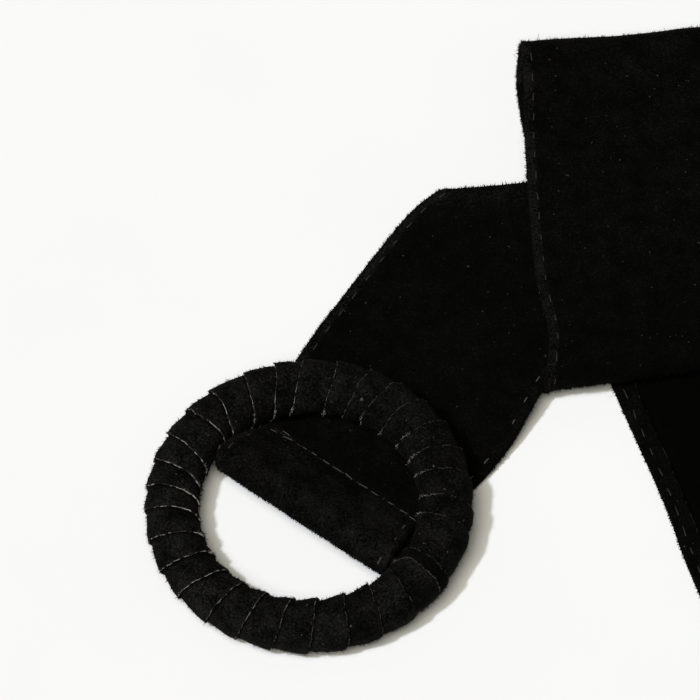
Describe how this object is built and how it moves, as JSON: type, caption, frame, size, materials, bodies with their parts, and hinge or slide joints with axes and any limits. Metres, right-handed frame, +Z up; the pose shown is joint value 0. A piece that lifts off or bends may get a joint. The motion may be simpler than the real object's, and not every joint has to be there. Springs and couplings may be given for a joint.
{
  "type": "suede belt",
  "caption": "Wide suede belt lying folded, its strap looped over the centre bar of a round buckle wound with suede, edges turned under and stitched, plain tip.",
  "frame": {"origin": "on the surface that the belt lies on, under the middle of the belt's box", "axes": "+Z up from the surface; +X from the buckle towards the folded pile; +Y away from the viewer, the way the top layer runs"},
  "size_m": [0.18, 0.189, 0.0143],
  "materials": {
    "suede": "black suede with a short raised nap, matt",
    "backing": "smooth matt black backing panel",
    "buckle_metal": "cast zinc alloy ring and bar, hidden under the winding and the loop"
  },
  "bodies": {
    "root": {"buckle_frame": "buckle_metal", "ring_wrap": "suede", "strap": "suede", "strap_backing": "backing"}
  },
  "joints": []
}
